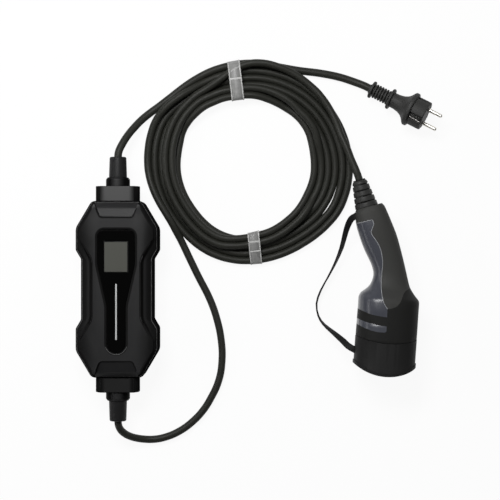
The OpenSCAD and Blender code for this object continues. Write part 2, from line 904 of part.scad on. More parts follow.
// Bend boot: stepped rings on a core, each slit bridged on two sides
boot_pitch = boot_l / boot_rings;
module boot_ring(i) {
  r = boot_r - boot_step * i;
  top = boot_pitch - boot_slit;
  last = i == boot_rings - 1;
  rotate_extrude()
    polygon(last
      ? [[0, 0], [r - 0.5, 0], [r, 0.6], [r - 0.2, 2.4], [r - 1, 4], [r - 2.4, 5.2], [r - 4, top], [0, top]]
      : [[0, 0], [r - 0.5, 0], [r, 0.6], [r - 0.4, top - 0.8], [r - 1, top], [0, top]]);
}
module connector_boot() {
  color([0.08, 0.08, 0.08])
    in_head()
      at_boot()
        rotate([-90, 0, 0])
          difference() {
            union() {
              cylinder(h = boot_l - 3, r1 = boot_r - 2.4, r2 = vehicle_d / 2 + 2.4);
              for (i = [0:boot_rings - 1])
                translate([0, 0, boot_pitch * i])
                  boot_ring(i);
              for (i = [1:boot_rings - 1])
                intersection() {
                  translate([0, 0, boot_pitch * i - boot_slit])
                    cylinder(h = boot_slit, r = boot_r - boot_step * i - 0.6);
                  rotate([0, 0, 60 * ((i + 1) % 2)])
                    cube([60, 8, 2 * boot_l], center = true);
                }
            }
            translate([0, 0, -1])
              cylinder(h = boot_l + 2, d = vehicle_d + 2 * clear);
          }
}

// Push-on cap: skirt, curved closed end and a bead round that end
module dust_cap() {
  color([0.06, 0.06, 0.06])
    in_head()
      difference() {
        union() {
          intersection() {
            oval_prism(head_w / 2 + 0.2, head_t / 2, -60, 10);
            cap_end(0);
          }
          intersection() {
            oval_prism(head_w / 2 + 1.2, head_t / 2 + 0.5, -60, -20);
            cap_end(0);
            difference() {
              cap_end(0);
              cap_end(3.6);
            }
          }
        }
        rim(0.5);
        intersection() {
          oval_prism(head_w / 2 - cap_wall, head_t / 2 - cap_wall, -60, 20);
          cap_end(cap_wall);
        }
      }
}

module cap_end(d) {
  translate([0, end_c, -60])
    cylinder(h = 120, r = end_r - d, $fn = 180);
}

// Strap stations: middle x, y and height over the floor, twist of its width from upright
strap_path = [[-50, 144.2, head_z, 84], [-53, 141.8, head_z - 0.6, 78], [-56, 135, 31, 65], [-58.4, 124, 25, 48],
  [-61.5, 105, 17, 32],
  [-67.5, 86, 12, 15], [-75, 68, 8, 5], [-83, 50, 5.2, 0], [-86.8, 34, 5, 0], [-83.5, 19, 6.5, 5],
  [-76, 9, 10, 14], [-64.4, 0.5, 18, 32], [-52.4, -8.4, 28, 58], [-45.6, -14.2, head_z - 1.6, 76],
  [-39.1, -17.4, head_z, 88]];
function strap_ring(c, t, q) =
  let (s = unit(cross(t, [0, 0, 1])), u = cross(s, t))
  let (w = (cos(q) * u + sin(q) * s) * strap_w / 2, n = (cos(q) * s - sin(q) * u) * strap_t / 2)
  [c + n + w, c - n + w, c - n - w, c + n - w];
function strap_point(p) = [p[0], p[1], p[2]];
module cap_strap() {
  way = curve(strap_path, 2);
  mid = [for (p = way) strap_point(p)];
  color([0.07, 0.07, 0.07])
    translate([head_x, head_y, 0])
      rotate([0, 0, -head_turn])
        loft([for (i = [0:len(way) - 1]) strap_ring(mid[i], heading(mid, i), way[i][3])]);
}

rear_shell();
front_shell();
housing_seal();
display_window();
lcd_panel();
light_bar();
display_board();
main_board();
power_relays();
supply_module();
leak_sensor();
terminal_blocks();
housing_screws();
upper_collar();
lower_collar();
upper_nut();
lower_nut();
upper_seal();
lower_seal();
upper_sleeve();
lower_sleeve();
supply_cord();
vehicle_lead();
cord_coil();
vehicle_exit();
coil_band_top();
coil_band_bottom();
plug_body();
plug_bridge();
plug_pins();
earth_clips();
handle_cover();
grip_insert();
head_shell();
contact_carrier();
power_contacts();
signal_contacts();
connector_boot();
handle_screws();
dust_cap();
cap_strap();
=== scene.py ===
import math
import bpy
import bmesh
from mathutils import Vector, Matrix
from mathutils.bvhtree import BVHTree


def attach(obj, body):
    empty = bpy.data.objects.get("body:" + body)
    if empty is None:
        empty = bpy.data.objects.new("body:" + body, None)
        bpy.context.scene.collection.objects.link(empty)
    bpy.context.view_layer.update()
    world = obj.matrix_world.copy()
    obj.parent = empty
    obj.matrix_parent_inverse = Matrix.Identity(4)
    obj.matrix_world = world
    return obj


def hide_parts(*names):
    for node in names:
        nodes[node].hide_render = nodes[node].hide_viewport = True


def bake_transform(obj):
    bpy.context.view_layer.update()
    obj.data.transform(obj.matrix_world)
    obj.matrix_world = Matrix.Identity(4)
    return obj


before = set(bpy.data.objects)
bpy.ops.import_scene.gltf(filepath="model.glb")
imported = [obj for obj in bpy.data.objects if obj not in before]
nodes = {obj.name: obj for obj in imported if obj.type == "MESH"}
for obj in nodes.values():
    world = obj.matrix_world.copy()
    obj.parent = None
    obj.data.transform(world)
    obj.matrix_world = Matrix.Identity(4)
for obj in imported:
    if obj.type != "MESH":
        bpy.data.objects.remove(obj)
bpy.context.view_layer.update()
scene = bpy.context.scene
scene.view_settings.view_transform = "Standard"
mm = 0.001
upward = Vector((0, 0, 1))

# camera straight above, as the photograph was taken; place in mm, reach in m
shot = {"place": (162.5, 48, 2000), "lens": 115.2, "sensor": 36, "reach": 20}
camData = bpy.data.cameras.new("topCamera")
camData.lens = shot["lens"]
camData.sensor_width = shot["sensor"]
camData.clip_end = shot["reach"]
camera = bpy.data.objects.new("topCamera", camData)
camera.location = Vector(shot["place"]) * mm
scene.collection.objects.link(camera)
scene.camera = camera
print("camera ready")

# shader helpers; a mix node has its colour sockets at these places
mixFirst, mixSecond, mixResult = 6, 7, 2


def grey(value):
    return (value, value, value)


def addNode(tree, kind, inputs=None, **values):
    made = tree.nodes.new(kind)
    for key, value in values.items():
        setattr(made, key, value)
    for socket, value in (inputs or {}).items():
        made.inputs[socket].default_value = value
    return made


def newGroup(name, inputs, outputs):  # sockets as label and kind
    group = bpy.data.node_groups.new(name, "ShaderNodeTree")
    for inOut, sockets in (("INPUT", inputs), ("OUTPUT", outputs)):
        for label, kind in sockets.items():
            group.interface.new_socket(name=label, in_out=inOut, socket_type="NodeSocket" + kind)
    give = addNode(group, "NodeGroupInput").outputs
    take = addNode(group, "NodeGroupOutput").inputs
    return group, give, take


def makeMouldGrain():  # mottled colour, uneven gloss and fine spark-eroded grain
    inputs = {"Vector": "Vector", "Base": "Color", "Mottle": "Color", "Cloud Scale": "Float",
              "Grain Scale": "Float", "Gloss Low": "Float", "Gloss High": "Float"}
    outputs = {"Color": "Color", "Roughness": "Float", "Height": "Float"}
    group, give, take = newGroup("mouldGrain", inputs, outputs)
    cloud = addNode(group, "ShaderNodeTexNoise", {"Detail": 4})
    grain = addNode(group, "ShaderNodeTexNoise", {"Detail": 3})
    tint = addNode(group, "ShaderNodeMix", data_type="RGBA")
    spread = addNode(group, "ShaderNodeMapRange", {"From Min": 0.3, "From Max": 0.7})
    link = group.links.new
    for noise, scale in ((cloud, "Cloud Scale"), (grain, "Grain Scale")):
        link(give["Vector"], noise.inputs["Vector"])
        link(give[scale], noise.inputs["Scale"])
    link(cloud.outputs["Fac"], tint.inputs[0])
    link(give["Base"], tint.inputs[mixFirst])
    link(give["Mottle"], tint.inputs[mixSecond])
    link(cloud.outputs["Fac"], spread.inputs["Value"])
    link(give["Gloss Low"], spread.inputs["To Min"])
    link(give["Gloss High"], spread.inputs["To Max"])
    link(tint.outputs[mixResult], take["Color"])
    link(spread.outputs["Result"], take["Roughness"])
    link(grain.outputs["Fac"], take["Height"])
    return group


def makeFrameMask():  # 1 outside a rectangle seen from above, 0 inside it
    inputs = {"Vector": "Vector", "Centre": "Vector", "Half": "Vector", "Soft": "Float"}
    group, give, take = newGroup("frameMask", inputs, {"Mask": "Float"})
    offset = addNode(group, "ShaderNodeVectorMath", operation="SUBTRACT")
    size = addNode(group, "ShaderNodeVectorMath", operation="ABSOLUTE")
    over = addNode(group, "ShaderNodeVectorMath", operation="SUBTRACT")
    parts = addNode(group, "ShaderNodeSeparateXYZ")
    worst = addNode(group, "ShaderNodeMath", operation="MAXIMUM")
    back = addNode(group, "ShaderNodeMath", {1: -1}, operation="MULTIPLY")
    soft = addNode(group, "ShaderNodeMapRange", interpolation_type="SMOOTHSTEP")
    link = group.links.new
    link(give["Soft"], back.inputs[0])
    link(back.outputs["Value"], soft.inputs["From Min"])
    link(give["Soft"], soft.inputs["From Max"])
    link(give["Vector"], offset.inputs[0])
    link(give["Centre"], offset.inputs[1])
    link(offset.outputs["Vector"], size.inputs[0])
    link(size.outputs["Vector"], over.inputs[0])
    link(give["Half"], over.inputs[1])
    link(over.outputs["Vector"], parts.inputs["Vector"])
    link(parts.outputs["X"], worst.inputs[0])
    link(parts.outputs["Y"], worst.inputs[1])
    link(worst.outputs["Value"], soft.inputs["Value"])
    link(soft.outputs["Result"], take["Mask"])
    return group


mouldGrain = makeMouldGrain()
frameMask = makeFrameMask()
coatRoughness = 0.22
crispBorder = 0.0002


def makeFinish(name, base, mottle, gloss, cloud=30, grain=1500, bump=0.1, depth=0.0002, metal=0.0,
               coat=0.0, specular=0.2, border=None):
    finish = bpy.data.materials.new(name)
    finish.use_nodes = True
    tree = finish.node_tree
    shader = tree.nodes["Principled BSDF"].inputs
    shader["Metallic"].default_value = metal
    shader["Coat Weight"].default_value = coat
    shader["Coat Roughness"].default_value = coatRoughness
    shader["Specular IOR Level"].default_value = specular
    spot = addNode(tree, "ShaderNodeTexCoord").outputs["Object"]
    scales = {"Cloud Scale": cloud, "Grain Scale": grain, "Gloss Low": gloss[0], "Gloss High": gloss[1]}
    look = addNode(tree, "ShaderNodeGroup", {"Base": (*base, 1), "Mottle": (*mottle, 1), **scales},
                   node_tree=mouldGrain)
    relief = addNode(tree, "ShaderNodeBump", {"Strength": bump, "Distance": depth})
    link = tree.links.new
    link(spot, look.inputs["Vector"])
    link(look.outputs["Color"], shader["Base Color"])
    link(look.outputs["Roughness"], shader["Roughness"])
    link(look.outputs["Height"], relief.inputs["Height"])
    link(relief.outputs["Normal"], shader["Normal"])
    # outside the rectangle the colour turns to the border tone and the specular level to its sheen value:
    # painted shade on the sides of the case, collars and nuts, with a painted highlight left on their middle
    # strip; the dark surround of the LCD's active area and of the light bar's bright core
    if border:
        reach = {"Centre": border["centre"], "Half": border["half"], "Soft": border.get("soft", crispBorder)}
        mask = addNode(tree, "ShaderNodeGroup", reach, node_tree=frameMask)
        edge = addNode(tree, "ShaderNodeMix", data_type="RGBA")
        edge.inputs[mixSecond].default_value = (*border["tone"], 1)
        link(spot, mask.inputs["Vector"])
        link(mask.outputs["Mask"], edge.inputs[0])
        link(look.outputs["Color"], edge.inputs[mixFirst])
        link(edge.outputs[mixResult], shader["Base Color"])
        if "sheen" in border:
            sheen = addNode(tree, "ShaderNodeMapRange", {"To Min": specular, "To Max": border["sheen"]})
            link(mask.outputs["Mask"], sheen.inputs["Value"])
            link(sheen.outputs["Result"], shader["Specular IOR Level"])
    return finish


def besideMiddle(half, **values):  # border of all that lies beyond a strip along the middle of the box; on the case, collars and nuts this border is painted shade
    return {"centre": (0, 0, 0), "half": (half, 1, 0), **values}


finishSettings = {
    # case: black, darker and duller beyond its middle strip, which is painted shade on its sides and lobes
    "caseBlack": dict(base=(0.0105, 0.0105, 0.011), mottle=(0.0135, 0.0135, 0.014), gloss=(0.4, 0.46),
                      bump=0.14, specular=0.25,
                      border=besideMiddle(0.034, soft=0.012, tone=grey(0.007), sheen=0.04)),
    # darker matt copy of the case finish for steep faces, bevels, the boot core and the recess fillets:
    # painted shade
    "caseMattPaintedShade": dict(base=grey(0.0085), mottle=grey(0.0115), gloss=(0.6, 0.7), bump=0.2, specular=0.0),
    # pale bead finish: painted highlights along the case edges
    "caseGlintPaint": dict(base=grey(0.085), mottle=grey(0.11), gloss=(0.3, 0.36), bump=0.05, specular=0.4),
    "windowGloss": dict(base=grey(0.001), mottle=grey(0.0015), gloss=(0.1, 0.14), bump=0.01,
                        specular=0.08),
    "lcdGlass": dict(base=(0.064, 0.065, 0.056), mottle=(0.074, 0.075, 0.066), gloss=(0.3, 0.36),
                     cloud=14, bump=0.02,
                     border={"centre": (-0.0003, 0.0394, 0), "half": (0.0138, 0.0182, 0),
                             "tone": grey(0.006)}),
    "lightGuide": dict(base=(0.5, 0.51, 0.51), mottle=(0.56, 0.57, 0.57), gloss=(0.3, 0.4), bump=0.03,
                       border=besideMiddle(0.0008, tone=grey(0.006))),
    # upper collar: darker and duller beyond its middle strip, painted shade on its sides
    "collarBlack": dict(base=grey(0.02), mottle=grey(0.026), gloss=(0.38, 0.45), bump=0.16, specular=0.5,
                        border=besideMiddle(0.0175, soft=0.004, tone=grey(0.007), sheen=0.03)),
    # lower collar: a darker, duller copy of the collar finish as painted shade, also darker beyond its
    # middle strip
    "collarPaintedShade": dict(base=grey(0.01), mottle=grey(0.013), gloss=(0.45, 0.52), bump=0.16,
                        specular=0.12,
                        border=besideMiddle(0.0165, soft=0.003, tone=grey(0.005), sheen=0.02)),
    # nuts: darker and duller beyond a narrow middle strip, painted shade on their round sides
    "nutBlack": dict(base=(0.0105, 0.0105, 0.011), mottle=(0.0135, 0.0135, 0.014), gloss=(0.38, 0.45),
                     bump=0.14, specular=0.25,
                     border=besideMiddle(0.0055, soft=0.004, tone=grey(0.0035), sheen=0.02)),
    "glandBlack": dict(base=(0.008, 0.008, 0.0083), mottle=(0.011, 0.011, 0.0113), gloss=(0.44, 0.52),
                       bump=0.14, specular=0.19),
    "cordJacket": dict(base=(0.0166, 0.017, 0.0138), mottle=(0.022, 0.0225, 0.0185), gloss=(0.45, 0.55),
                       cloud=60, grain=2200, bump=0.25),
    "plugRubber": dict(base=(0.032, 0.032, 0.031), mottle=(0.039, 0.039, 0.0376), gloss=(0.5, 0.62),
                       bump=0.2),
    # pale diffuse finish for the folded clip edge: painted highlight
    "clipMetalGlint": dict(base=(0.78, 0.75, 0.72), mottle=(0.84, 0.81, 0.78), gloss=(0.4, 0.5), bump=0.05),
    # earth clips: very dark metal standing in for the dark recess they reflect, painted shade
    "clipPaintedShade": dict(base=(0.07, 0.07, 0.067), mottle=(0.09, 0.09, 0.086), gloss=(0.4, 0.5), bump=0.05,
                      metal=1.0),
    "nickelPlate": dict(base=(0.72, 0.7, 0.65), mottle=(0.78, 0.76, 0.71), gloss=(0.28, 0.36), bump=0.05,
                        metal=1.0),
    "coverDark": dict(base=(0.034, 0.034, 0.032), mottle=(0.041, 0.041, 0.0386), gloss=(0.55, 0.65),
                      bump=0.2),
    "gripSlate": dict(base=(0.046, 0.049, 0.061), mottle=(0.053, 0.056, 0.07), gloss=(0.3, 0.38),
                      bump=0.08, specular=0.35, coat=0.35),
    # pale finish on the insert's bevels and lip: painted highlight
    "gripEdgeHighlight": dict(base=(0.24, 0.245, 0.26), mottle=(0.3, 0.305, 0.32), gloss=(0.28, 0.34), bump=0.04,
                     specular=0.5),
    "headBlack": dict(base=(0.011, 0.011, 0.0105), mottle=(0.014, 0.014, 0.0135), gloss=(0.56, 0.64),
                      bump=0.15, specular=0.12),
    "bootRubber": dict(base=(0.023, 0.023, 0.022), mottle=(0.029, 0.029, 0.028), gloss=(0.42, 0.52),
                       bump=0.15, specular=0.25),
    "capRubber": dict(base=grey(0.0105), mottle=grey(0.0135), gloss=(0.56, 0.64), bump=0.12,
                      specular=0.12),
    "bandFilm": dict(base=(0.17, 0.17, 0.166), mottle=(0.3, 0.3, 0.295), gloss=(0.3, 0.45), cloud=220,
                     grain=900, bump=0.6, depth=0.0004, specular=0.5),
    "bandHem": dict(base=(0.42, 0.42, 0.41), mottle=(0.52, 0.52, 0.51), gloss=(0.3, 0.4), cloud=260,
                    bump=0.3, specular=0.5),
    "sealRubber": dict(base=grey(0.03), mottle=grey(0.035), gloss=(0.5, 0.6)),
    "boardGreen": dict(base=(0.02, 0.1, 0.04), mottle=(0.03, 0.13, 0.05), gloss=(0.3, 0.4), cloud=90),
    "relayBlue": dict(base=(0.03, 0.06, 0.25), mottle=(0.04, 0.07, 0.28), gloss=(0.3, 0.4)),
    "moduleBlack": dict(base=grey(0.015), mottle=grey(0.02), gloss=(0.4, 0.5)),
    "terminalGreen": dict(base=(0.03, 0.14, 0.05), mottle=(0.04, 0.17, 0.06), gloss=(0.4, 0.5)),
    "screwSteel": dict(base=grey(0.5), mottle=grey(0.56), gloss=(0.28, 0.38), metal=1.0),
}
finishes = {name: makeFinish(name, **settings) for name, settings in finishSettings.items()}
print("finishes ready:", len(finishes))


# mesh helpers
bevelSteps = 2


def pieceFrom(name, bm, finish):
    mesh = bpy.data.meshes.new(name)
    bm.to_mesh(mesh)
    bm.free()
    mesh.materials.append(finishes[finish])
    made = bpy.data.objects.new(name, mesh)
    scene.collection.objects.link(made)
    return made


def rodBetween(start, stop, radii, segments):  # straight rod or taper with closed ends
    run = stop - start
    bm = bmesh.new()
    bmesh.ops.create_cone(bm, cap_ends=True, segments=segments, radius1=radii[0] * mm,
                          radius2=radii[1] * mm, depth=run.length)
    turn = run.to_track_quat("Z", "Y").to_matrix().to_4x4()
    bmesh.ops.transform(bm, matrix=Matrix.Translation((start + stop) / 2) @ turn, verts=bm.verts)
    return bm


def barAt(middle, along, beside, size, soft):  # flat bar with rounded edges
    bm = bmesh.new()
    bmesh.ops.create_cube(bm, size=1)
    facing = Matrix((along, beside, upward)).transposed().to_4x4()
    place = Matrix.Translation(middle) @ facing @ Matrix.Diagonal((*size, 1))
    bmesh.ops.transform(bm, matrix=place, verts=bm.verts)
    bmesh.ops.bevel(bm, geom=bm.edges[:], offset=soft * mm, segments=bevelSteps, affect="EDGES")
    bmesh.ops.recalc_face_normals(bm, faces=bm.faces)
    return bm


def isBent(edge, degrees):
    return len(edge.link_faces) == 2 and edge.calc_face_angle() > math.radians(degrees)


def smoothAll(piece, sharpAngle):
    for polygon in piece.data.polygons:
        polygon.use_smooth = True
    piece.data.set_sharp_from_angle(angle=math.radians(sharpAngle))


# cords, each one spline; routes in mm, radius and length in m
cordMesh = {"round": 5, "along": 5}
coilCentre = (157.5, 154.5)


def onCoil(angle, radius, height):
    turn = math.radians(angle)
    x, y = coilCentre
    return Vector((x + radius * math.cos(turn), y + radius * math.sin(turn), height))


def smoothCord(name, points, radius, finish):
    curve = bpy.data.curves.new(name, "CURVE")
    curve.dimensions = "3D"
    curve.bevel_depth = radius
    curve.bevel_resolution = cordMesh["round"]
    curve.resolution_u = cordMesh["along"]
    curve.use_fill_caps = True
    spline = curve.splines.new("BEZIER")
    spline.bezier_points.add(len(points) - 1)
    for knot, point in zip(spline.bezier_points, points):
        knot.co = Vector(point) * mm
        knot.handle_left_type = "AUTO"
        knot.handle_right_type = "AUTO"
    made = bpy.data.objects.new(name, curve)
    scene.collection.objects.link(made)
    curve.materials.append(finishes[finish])
    return made


supplyLead = {
    "radius": 0.0048,
    "length": 0.4,
    "exit": (0, 0.1625, 0.03),
    "route": [
        (0, 137, 30), (0, 150, 30), (0, 162, 30), (0.8, 169, 29.2), (4.6, 178, 26.3), (11.5, 190, 20.5),
        (19.5, 200.5, 14.8), (28, 210, 9.6), (38, 218.6, 6.2), (50, 227.6, 5), (62.2, 237, 4.9),
        (74.4, 246.6, 5), (86.8, 255.6, 5.3), (100, 263.6, 5.7), (112.5, 269.9, 5.8), (125, 274.4, 5.8),
        (137.5, 277.6, 5.8), (150, 279.8, 5.8), (162.5, 280.6, 5.8), (175, 279.9, 5.8), (187.5, 278, 5.7),
        (206, 274.6, 5.3), (225, 271.4, 5), (250, 268.3, 4.9), (275, 263.2, 5), (292, 257.5, 6.3),
        (304.5, 252.4, 9), (311, 249.1, 10.4), (316.7, 246, 11.7)],
}

vehicleCord = {
    "radius": 0.0046,
    "length": 4.9,
    "exit": (0, -0.1625, 0.03),
    "lead": [  # out of the lower gland, round the loop and up to the coil
        (0, -137, 30), (0, -150, 30), (0, -161, 30), (0.4, -167, 29.2), (2.4, -172.8, 26.4),
        (6.8, -178.2, 22), (13.2, -182.6, 16.6), (21.6, -185.8, 11), (31, -187.6, 6.8), (42, -188, 5),
        (56, -185.6, 4.7), (75, -177.6, 4.7), (92.5, -164.5, 4.7), (104, -152, 4.7), (112.3, -139.2, 4.7),
        (123.6, -114.5, 4.7), (127.6, -89.5, 4.7), (126.6, -64.5, 4.7), (121.6, -39.5, 4.7),
        (113, -14.5, 4.7), (97.4, 16.5, 4.9), (88, 36, 5.6)],
    "landing": [  # angle, radius and height where the lead climbs onto the coil
        (-131, 124, 7), (-136, 120.4, 10.4), (-142, 117.4, 13.6), (-150, 116.6, 14.2), (-158, 117.8, 13),
        (-166, 119.6, 11), (-174, 121.4, 8)],
    "pitch": 8.8,
    "floor": 5.5,
    "lift": 8.2,
    "step": 9,
    "rim": [  # angle and radius of the outer turn; each slot lies one pitch further in
        (180, 122.4), (165, 124), (155, 125), (147, 123.8), (139, 120.8), (130, 117), (120, 114.8),
        (110, 115), (98, 115.4), (91, 116.4), (84, 117.4), (68, 119.5), (45, 122.8), (22, 126),
        (0, 128.8), (-16, 129.4), (-27, 128.6), (-40, 124.8), (-55, 121.2), (-75, 119.8), (-95, 119.8),
        (-112, 118.4), (-126, 115.6), (-140, 113), (-156, 112.4), (-168, 113), (-180, 113.6)],
    "turns": [  # angle, slot and level of each turn, level 1 on top of the floor turns
        [(180, 0, 0.1), (165, 0, 0.12), (155, 0.04, 0.5), (147, 0.12, 0.95), (139, 0.15, 1.12),
         (130, 0.1, 0.9), (120, 0, 0.15), (110, 0, 0), (-180, 0, 0)],
        [(180, 1, 0), (-12, 1, 0), (-25, 0.97, 0), (-36, 1, 0), (-180, 1, 0)],
        [(180, 2, 0), (-12, 2, 0), (-25, 2.12, 0), (-36, 2, 0), (-180, 2, 0)],
        [(180, 3, 0), (-12, 3, 0), (-25, 3.06, 0), (-36, 3, 0), (-150, 3, 0), (-180, 3.15, 0)],
        [(180, 4.15, 0), (165, 4.3, 0), (154, 4.12, 0.05), (142, 3.74, 0.6), (127, 3.15, 1.1),
         (112, 3.2, 1.05), (97, 3.42, 1), (84, 3.55, 0.95), (70, 3.83, 0.5), (55, 4, 0), (45, 4, 0),
         (30, 4.2, 0.05), (18, 4.6, 0.05), (6, 4.9, 0), (-4, 4.96, 0), (-27, 4.96, 0), (-40, 4.4, 0.1),
         (-55, 3.9, 0.5), (-70, 3.55, 0.95), (-84, 3.4, 1), (-100, 2.9, 1.1), (-112, 2.5, 1),
         (-180, 2.5, 1)],
        [(180, 3.5, 1), (154, 3.4, 1), (142, 2.9, 1.05), (127, 2.15, 1.05), (112, 2.22, 1), (97, 2.42, 1),
         (84, 2.5, 1), (70, 2.7, 1), (55, 3, 1.08), (45, 3.3, 1), (30, 3.35, 0.95), (18, 3.75, 0.6),
         (6, 3.95, 0.15), (-4, 3.98, 0), (-16, 3.98, 0), (-27, 4, 0.2), (-40, 3.4, 1), (-55, 2.9, 1.08),
         (-70, 2.55, 1), (-84, 2.4, 1), (-100, 1.9, 1.1), (-112, 1.5, 1), (-180, 1.5, 1)],
        [(180, 2.5, 1), (154, 2.4, 1), (142, 1.95, 1.05), (127, 1.2, 1.05), (115, 0.95, 1.02),
         (106, 0.55, 1.02)]],
    "leaving": [  # angle, radius and height where the last turn crosses over the supply cord
        (97, 118.4, 14.6), (90, 123.8, 15.4), (82, 126.8, 15.6), (72, 127.2, 15.5), (62, 127, 13.8),
        (50, 126, 13.2), (42.5, 125.4, 14.2), (32, 124, 15.4), (24.8, 123, 17.4)],
    "toConnector": [  # up from the coil, through the boot and grip to the contacts
        (275, 190, 20.6), (281.6, 175, 25.4), (287.4, 158.6, 31.2), (292.6, 146, 34.8),
        (295.9, 137, 35.1), (301, 119, 35.1), (305.8, 101.7, 35.1), (312.7, 80.6, 35.1),
        (323.6, 51.7, 35.1), (333.6, 20.9, 35.1), (335.6, -9.3, 35.1), (331.3, -35, 35.1)],
}


def glide(keys, angle):  # smooth values between keyed angles, which fall along the list
    i = 0
    while i < len(keys) - 2 and angle < keys[i + 1][0]:
        i += 1
    before, start, stop, after = (keys[min(max(i + k, 0), len(keys) - 1)] for k in (-1, 0, 1, 2))
    span = start[0] - stop[0]
    t = (start[0] - angle) / span
    values = []
    for axis in range(1, len(start)):
        slopeIn = (stop[axis] - before[axis]) / (before[0] - stop[0]) * span
        slopeOut = (after[axis] - start[axis]) / (start[0] - after[0]) * span
        values.append((2 * t**3 - 3 * t**2 + 1) * start[axis] + (t**3 - 2 * t**2 + t) * slopeIn
                      + (3 * t**2 - 2 * t**3) * stop[axis] + (t**3 - t**2) * slopeOut)
    return values


def windCord(settings):
    points = [Vector(p) for p in settings["lead"]]
    points += [onCoil(*key) for key in settings["landing"]]
    for turn in settings["turns"]:
        angle = turn[0][0]
        while angle > turn[-1][0]:
            slot, level = glide(turn, angle)
            radius = glide(settings["rim"], angle)[0] - settings["pitch"] * slot
            points.append(onCoil(angle, radius, settings["floor"] + settings["lift"] * level))
            angle -= settings["step"]
    points += [onCoil(*key) for key in settings["leaving"]]
    return points + [Vector(p) for p in settings["toConnector"]]


supplyRoute = [Vector(p) for p in supplyLead["route"]]
vehicleRoute = windCord(vehicleCord)
supplyCord = smoothCord("supplyCordJacket", supplyRoute, supplyLead["radius"], "cordJacket")
vehicleCordPiece = smoothCord("vehicleCordJacket", vehicleRoute, vehicleCord["radius"], "cordJacket")
vehicleNodes = ["vehicle_lead", "cord_coil", "vehicle_exit"]
for cordPiece, replaced in ((supplyCord, ["supply_cord"]), (vehicleCordPiece, vehicleNodes)):
    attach(cordPiece, "charger")
    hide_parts(*replaced)
print("cords laid, vehicle cord in", len(vehicleRoute), "points")


# bands round the coil: a hull round the strands, hems along its edges and folds across it; sizes in mm
coilBands = {
    "coilBandTop": {"node": "coil_band_top", "angle": 97, "width": 15.5, "folds": [106.5]},
    "coilBandBottom": {"node": "coil_band_bottom", "angle": -84, "width": 14.5, "folds": [97, 108.5]},
}
bandMake = {
    "film": 0.6, "grow": 5.35, "hem": 1.5, "hemRise": 0.4, "cuts": 3, "ringSides": 16, "endFacing": 0.97,
    "clear": 0.2, "reach": (60, 140), "foldWide": 2.2, "foldTall": 1.0, "foldRound": 0.4, "lookFrom": 50,
    "sharp": 40,
}


def strandsAt(angle, shift):  # radius and height of every strand that crosses one cut of the coil
    turn = math.radians(angle)
    away = Vector((math.cos(turn), math.sin(turn), 0))
    along = Vector((-math.sin(turn), math.cos(turn), 0))
    middle = Vector((*coilCentre, 0)) + along * shift
    nearest, farthest = bandMake["reach"]
    found = []
    for route in (vehicleRoute, supplyRoute):
        for a, b in zip(route, route[1:]):
            u, v = (a - middle).dot(along), (b - middle).dot(along)
            if u * v <= 0 and u != v:
                hit = a.lerp(b, u / (u - v)) - middle
                if nearest < hit.dot(away) < farthest:
                    found.append((hit.dot(away), hit.z))
    return middle, away, along, found


def wrapStrip(angle, shifts, grow, finishIndex):  # open sleeve round every strand between two places
    bm = bmesh.new()
    for shift in shifts:
        middle, away, along, strands = strandsAt(angle, shift)
        turnIn = Matrix((away, upward, along)).transposed().to_4x4()
        for radius, height in strands:
            place = Matrix.Translation(middle + away * radius + upward * height) @ turnIn
            ring = bmesh.ops.create_circle(bm, segments=bandMake["ringSides"], radius=grow)["verts"]
            bmesh.ops.transform(bm, matrix=place, verts=ring)
    hull = bmesh.ops.convex_hull(bm, input=bm.verts)
    spare = [g for g in hull["geom_interior"] + hull["geom_unused"] if isinstance(g, bmesh.types.BMVert)]
    bmesh.ops.delete(bm, geom=spare, context="VERTS")
    ends = [f for f in bm.faces if abs(f.normal.dot(along)) > bandMake["endFacing"]]
    bmesh.ops.delete(bm, geom=ends, context="FACES")
    bmesh.ops.recalc_face_normals(bm, faces=bm.faces)
    for v in bm.verts:
        v.co *= mm
        v.co.z = max(v.co.z, bandMake["clear"] * mm)
    for f in bm.faces:
        f.material_index = finishIndex
    return bm


def foldAcross(strip, settings, radius):  # flat welt over the top of the sleeve
    middle, away, along, strands = strandsAt(settings["angle"], 0)
    above = (middle + away * radius + upward * bandMake["lookFrom"]) * mm
    top = BVHTree.FromBMesh(strip).ray_cast(above, -upward)[0]
    size = (bandMake["foldWide"] * mm, settings["width"] * mm, bandMake["foldTall"] * mm)
    bm = barAt(top, away, along, size, bandMake["foldRound"])
    for f in bm.faces:
        f.material_index = 1
    return bm


def wrapBand(name, settings):
    half, hem, grow = settings["width"] / 2, bandMake["hem"], bandMake["grow"]
    cuts = bandMake["cuts"]
    places = [half * step / cuts for step in range(-cuts, cuts + 1)]
    sleeve = wrapStrip(settings["angle"], places, grow, 0)
    parts = [wrapStrip(settings["angle"], shifts, grow + bandMake["hemRise"], 1)
             for shifts in ((-half, hem - half), (half - hem, half))]
    parts += [foldAcross(sleeve, settings, radius) for radius in settings["folds"]]
    for part in parts:
        spare = bpy.data.meshes.new(name + "Part")
        part.to_mesh(spare)
        part.free()
        sleeve.from_mesh(spare)
        bpy.data.meshes.remove(spare)
    piece = pieceFrom(name, sleeve, "bandFilm")
    piece.data.materials.append(finishes["bandHem"])
    smoothAll(piece, bandMake["sharp"])
    thick = piece.modifiers.new("film", "SOLIDIFY")
    thick.thickness = bandMake["film"] * mm
    thick.offset = -1
    return piece


onVehicleCord = []
for bandName, bandSettings in coilBands.items():
    band = wrapBand(bandName, bandSettings)
    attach(band, "charger")
    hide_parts(bandSettings["node"])
    onVehicleCord.append(band)
print("bands wrapped")
